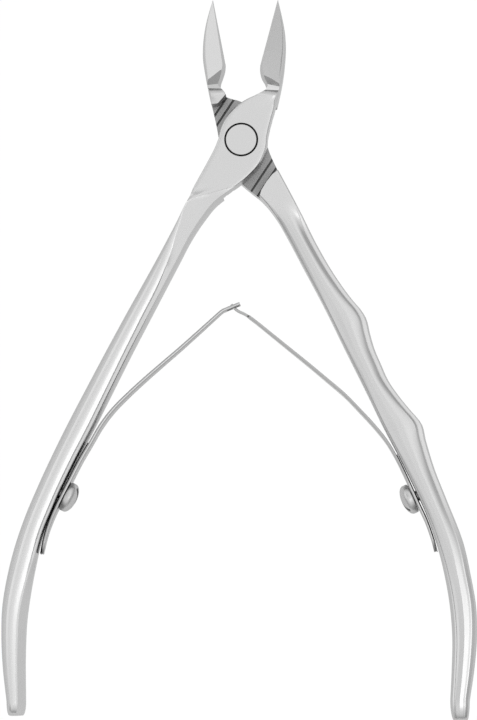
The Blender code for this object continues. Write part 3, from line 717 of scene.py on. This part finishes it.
def make_halves():
    """Both halves, standing for their CAD nodes."""
    satin = steel("satin_steel", 0.53, 0.27)
    # Recess floors: rougher machined steel, whose darker tone also paints the shade of the recess.
    machined = steel("machined_steel_and_recess_shade", 0.33, 0.50, LAP_GRIND, LAP_BUMP, GROOVE_ANGLE)
    # Near-black paint on the bore and the ring groove round the rivet: painted shade in the gap.
    dark, _, _ = new_material("joint_gap_painted_shade", (0.03, 0.03, 0.03), 0.55)
    # The grooves are nearly black: painted shade in the grooves.
    groove = steel("groove_steel_painted_shade", 0.07, 0.45, LAP_GRIND, LAP_BUMP, GROOVE_ANGLE)
    materials = (satin, machined, dark, groove)
    front_edges = (FRONT_LEFT, FRONT_RIGHT)
    back_edges = (BACK_LEFT, BACK_RIGHT)
    front = forged_half("front_half_forging", front_edges, front_sides, FRONT_END, True, materials)
    back = forged_half("back_half_forging", back_edges, back_sides, BACK_END, False, materials)
    for piece, node in ((front, "front_half"), (back, "back_half")):
        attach(piece, node)
        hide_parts(node)


# ---------------------------------------------------------------- rivet, springs and screws
def turned(name, profile, material, sides=96):
    """Turned piece about Z from (radius, height) pairs, top to bottom, closed by flat caps."""
    rings = [[(x, y, height) for x, y in circle(radius, sides)] for radius, height in profile]
    return loft(name, rings, material)


def make_rivet():
    """Flush rivet with a fine chamfer and turned ends."""
    ends = steel("rivet_steel", 0.53, 0.24, RIVET_GRIND)
    profile = [(RIVET_RADIUS - inward, DEPTH - down) for inward, down in RIVET_RIM]
    profile += [(RIVET_RADIUS - inward, down) for inward, down in reversed(RIVET_RIM)]
    rivet = turned("rivet", profile, ends)
    shade(rivet, SMALL_PIECE_CREASE)
    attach(rivet, "front_half")
    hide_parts("pivot_rivet")


def smooth_path(points, step):
    """Even points along a smooth curve through the key points."""
    dense = []
    for k in range(len(points) - 1):
        p0 = Vector(points[max(k - 1, 0)])
        p1 = Vector(points[k])
        p2 = Vector(points[k + 1])
        p3 = Vector(points[min(k + 2, len(points) - 1)])
        for part in range(CURVE_PARTS):
            t = part / CURVE_PARTS
            near = p1 * 2 + (p2 - p0) * t
            far = (p0 * 2 - p1 * 5 + p2 * 4 - p3) * t * t + (p1 * 3 - p0 - p2 * 3 + p3) * t ** 3
            dense.append((near + far) * 0.5)
    dense.append(Vector(points[-1]))
    path = [dense[0]]
    carried = 0.0
    for a, b in zip(dense, dense[1:]):
        carried += (b - a).length
        if carried >= step:
            path.append(b)
            carried = 0.0
    path.append(dense[-1])
    return path


def strip(name, path, half_widths, thickness, material):
    """Thin strip on edge along a plan path, with its edges rounded."""
    edge = 0.25 * thickness
    rings = []
    for k, spot in enumerate(path):
        ahead = path[min(k + 1, len(path) - 1)] - path[max(k - 1, 0)]
        across = Vector((ahead.y, -ahead.x)).normalized()
        tall = half_widths[k]
        flat = thickness / 2
        ring = []
        for side_sign, rise in ((1, -1), (1, 1), (-1, 1), (-1, -1)):
            outer = (side_sign * flat, rise * (tall - edge))
            middle = (side_sign * (flat - 0.3 * edge), rise * (tall - 0.3 * edge))
            inner = (side_sign * (flat - edge), rise * tall)
            ring += [inner, middle, outer] if side_sign * rise < 0 else [outer, middle, inner]
        rings.append([(spot.x + across.x * a, spot.y + across.y * a, MID + z) for a, z in ring])
    return loft(name, rings, material)


def nearest(path, spot):
    """Index of the path's point nearest to a spot."""
    return min(range(len(path)), key=lambda k: (path[k] - Vector(spot)).length)


def foot_half_width(share):
    """Half width of a leaf's foot, narrow at its end, full from a share of 1."""
    return FOOT_END_HALF_WIDTH + (LEAF_HALF_WIDTH - FOOT_END_HALF_WIDTH) * min(1.0, share)


def leaf_widths(path, flex, tongue):
    """Half width of a leaf at each point of its path, rounded off at the foot's end."""
    turn = nearest(path, flex)
    last = len(path) - 1
    widths = []
    for k, spot in enumerate(path):
        if tongue and spot.x < TONGUE_START_X:
            width = TONGUE_HALF_WIDTH
        elif k <= turn:
            width = foot_half_width(FOOT_TAPER * k / turn)
        else:
            width = LEAF_HALF_WIDTH + (TAB_HALF_WIDTH - LEAF_HALF_WIDTH) * (k - turn) / (last - turn)
        widths.append(width * math.sqrt(max(0.12, min(1.0, (k + 0.4) / 3))))
    return widths


def cut_eye(leaf):
    """Oval eye in the tab of the left leaf."""
    outline = [(math.copysign(EYE_STRAIGHT / 2, a) + a, z) for a, z in circle(EYE_RADIUS, 40)]
    turn = math.radians(EYE_ANGLE)
    along = Vector((math.cos(turn), math.sin(turn)))
    rings = []
    for reach in (-EYE_REACH, EYE_REACH):
        rings.append([(EYE_CENTRE[0] + along.x * a - along.y * reach,
                       EYE_CENTRE[1] + along.y * a + along.x * reach,
                       MID + z) for a, z in outline])
    carve(leaf, [loft("eye", rings, leaf.data.materials[0])])


def leaf_spring(side_name, points, flex, material, tongue):
    """A whole leaf as it rests; its width changes at the flex point, where the real spring bends when the
    nipper closes.
    """
    path = smooth_path(points, LEAF_STEP)
    leaf = strip(side_name + "_leaf", path, leaf_widths(path, flex, tongue), LEAF_THICK, material)
    if not tongue:
        cut_eye(leaf)
    shade(leaf, SMALL_PIECE_CREASE)
    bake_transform(leaf)
    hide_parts(side_name + "_spring_foot", side_name + "_spring_arm")


def painted_gap_shadow(side_name, points, side_sign, node):
    """Painted shadow: a black strip in the narrow gap between a leaf's foot and the handle, where the shade
    falls.
    """
    material, _, _ = new_material(side_name + "_painted_shadow_black", (0.012, 0.012, 0.012), 0.7)
    path = smooth_path(points[:SHADOW_STRIP_POINTS], SHADOW_STRIP_STEP)
    last = len(path) - 1
    shifted = []
    widths = []
    for k, spot in enumerate(path):
        ahead = path[min(k + 1, last)] - path[max(k - 1, 0)]
        across = Vector((ahead.y, -ahead.x)).normalized() * side_sign
        shifted.append(spot - across * (LEAF_THICK / 2 + SHADOW_STRIP_OFFSET))
        widths.append(foot_half_width(SHADOW_STRIP_TAPER * k / last) - SHADOW_STRIP_INSET)
    item = strip(side_name + "_foot_painted_shadow", shifted, widths, SHADOW_STRIP_THICK, material)
    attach(item, node)


def spring_screw(side_name, place, material, body):
    """Slotted screw with a low domed head."""
    seat = LEAF_GAP + LEAF_THICK + SEAT_GAP
    rim = seat + SCREW_RIM_HEIGHT
    profile = []
    for angle in range(86, -1, -7):
        rise = SCREW_DOME_HEIGHT * math.sin(math.radians(angle))
        profile.append((SCREW_HEAD_RADIUS * math.cos(math.radians(angle)), rim + rise))
    profile += [(SCREW_HEAD_RADIUS, seat + 0.25), (SCREW_HEAD_RADIUS - 0.08, seat + 0.08),
                (SCREW_HEAD_RADIUS - 0.25, seat), (SHANK_RADIUS, seat), (SHANK_RADIUS, -SHANK_LENGTH),
                SHANK_TIP]
    screw = turned(side_name + "_screw", profile, material, 64)
    low = rim + SCREW_DOME_HEIGHT - SLOT_DEPTH
    edge = SLOT_WIDTH / 2
    plan = [(-SLOT_REACH, -edge), (SLOT_REACH, -edge), (SLOT_REACH, edge), (-SLOT_REACH, edge)]
    carve(screw, [prism("slot", plan, low, low + 3.0, material)])
    x, y, dx, dy = place
    spin = Quaternion((0.0, 0.0, 1.0), math.radians(SLOT_TURN))
    turn = Vector((dx, dy, 0.0)).to_track_quat("Z", "Y") @ spin
    stand = Matrix.Translation(Vector((x, y, MID)) * MM) @ turn.to_matrix().to_4x4()
    screw.data.transform(stand)
    shade(screw, SMALL_PIECE_CREASE)
    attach(screw, body)
    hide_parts(side_name + "_spring_screw")


def make_springs():
    """Both leaf springs with the painted shadow strips behind their feet, and their screws."""
    bright = steel("spring_steel", 0.37, 0.2, LEAF_GRIND)
    matt = steel("screw_steel", 0.50, 0.36, SCREW_GRIND)
    leaf_spring("left", LEFT_LEAF, LEFT_FLEX, bright, False)
    leaf_spring("right", RIGHT_LEAF, RIGHT_FLEX, bright, True)
    # Black strips that paint the shadow in the gap between each foot and its handle.
    painted_gap_shadow("left", LEFT_LEAF, 1, "front_half")
    painted_gap_shadow("right", RIGHT_LEAF, -1, "back_half")
    spring_screw("left", LEFT_SCREW, matt, "front_half")
    spring_screw("right", RIGHT_SCREW, matt, "back_half")


# ---------------------------------------------------------------- studio
def lobe(tree, direction, aim, inner, outer, strength):
    """Round soft patch of sky about a direction, brighter or dimmer than the rest."""
    facing = tree.nodes.new("ShaderNodeVectorMath")
    facing.operation = "DOT_PRODUCT"
    facing.inputs[1].default_value = Vector(aim).normalized()
    fall = tree.nodes.new("ShaderNodeMapRange")
    fall.interpolation_type = "SMOOTHSTEP"
    fall.inputs["From Min"].default_value = math.cos(math.radians(outer))
    fall.inputs["From Max"].default_value = math.cos(math.radians(inner))
    fall.inputs["To Max"].default_value = strength
    tree.links.new(direction, facing.inputs[0])
    tree.links.new(facing.outputs["Value"], fall.inputs["Value"])
    return fall.outputs["Result"]


def make_world():
    """Soft studio: bright above, dim at the horizon, with a few soft boxes."""
    world = bpy.data.worlds.new("studio")
    bpy.context.scene.world = world
    world.use_nodes = True
    tree = world.node_tree
    back = tree.nodes["Background"]
    back.inputs["Color"].default_value = (1.0, 1.0, 1.0, 1.0)
    place = tree.nodes.new("ShaderNodeTexCoord")
    split = tree.nodes.new("ShaderNodeSeparateXYZ")
    ramp = tree.nodes.new("ShaderNodeValToRGB")
    stops = ramp.color_ramp.elements
    stops[0].position, stops[0].color = SKY[0][0], (*[SKY[0][1]] * 3, 1)
    stops[1].position, stops[1].color = SKY[-1][0], (*[SKY[-1][1]] * 3, 1)
    for position, level in SKY[1:-1]:
        stops.new(position).color = (level, level, level, 1)
    tree.links.new(place.outputs["Generated"], split.inputs["Vector"])
    tree.links.new(split.outputs["Z"], ramp.inputs["Fac"])
    total = tree.nodes.new("ShaderNodeMath")
    total.operation = "MULTIPLY"
    total.inputs[1].default_value = SKY_STRENGTH
    tree.links.new(ramp.outputs["Color"], total.inputs[0])
    level = total.outputs["Value"]
    for aim, inner, outer, strength in SOFT_BOXES:
        add = tree.nodes.new("ShaderNodeMath")
        add.operation = "ADD"
        tree.links.new(level, add.inputs[0])
        tree.links.new(lobe(tree, place.outputs["Generated"], aim, inner, outer, strength), add.inputs[1])
        level = add.outputs["Value"]
    tree.links.new(level, back.inputs["Strength"])


def make_floor():
    """Plain pale floor, bright enough to be shadowless."""
    material, _, shader = new_material("studio_floor", (0.0, 0.0, 0.0), 1.0, 0.0)
    shader.inputs["Emission Color"].default_value = (1.0, 1.0, 1.0, 1.0)
    shader.inputs["Emission Strength"].default_value = 1.0
    low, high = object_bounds()
    reach = (high - low).length * FLOOR_SPREAD
    plan = ((-reach, -reach), (reach, -reach), (reach, reach), (-reach, reach))
    mesh = bpy.data.meshes.new("studio_floor")
    mesh.from_pydata([(x, y, low.z - FLOOR_DROP) for x, y in plan], [], [(0, 1, 2, 3)])
    mesh.materials.append(material)
    link(bpy.data.objects.new("studio_floor", mesh))


def make_camera():
    """Camera almost square to the nipper."""
    data = bpy.data.cameras.new("camera")
    data.lens = CAMERA_LENS
    data.sensor_width = CAMERA_SENSOR
    data.clip_start, data.clip_end = CAMERA_CLIP
    camera = link(bpy.data.objects.new("camera", data))
    turn = math.tan(math.radians(CAMERA_TURN))
    tilt = math.tan(math.radians(CAMERA_TILT))
    away = Vector((turn, -tilt, 1.0)).normalized()
    camera.location = (Vector(VIEW_CENTRE) + away * CAMERA_DISTANCE) * MM
    right = Vector((0.0, 1.0, 0.0)).cross(away).normalized()
    camera.rotation_euler = Matrix((right, away.cross(right), away)).transposed().to_euler()
    bpy.context.scene.camera = camera


make_halves()
make_rivet()
make_springs()
make_world()
make_floor()
make_camera()
bpy.context.scene.view_settings.view_transform = "Standard"
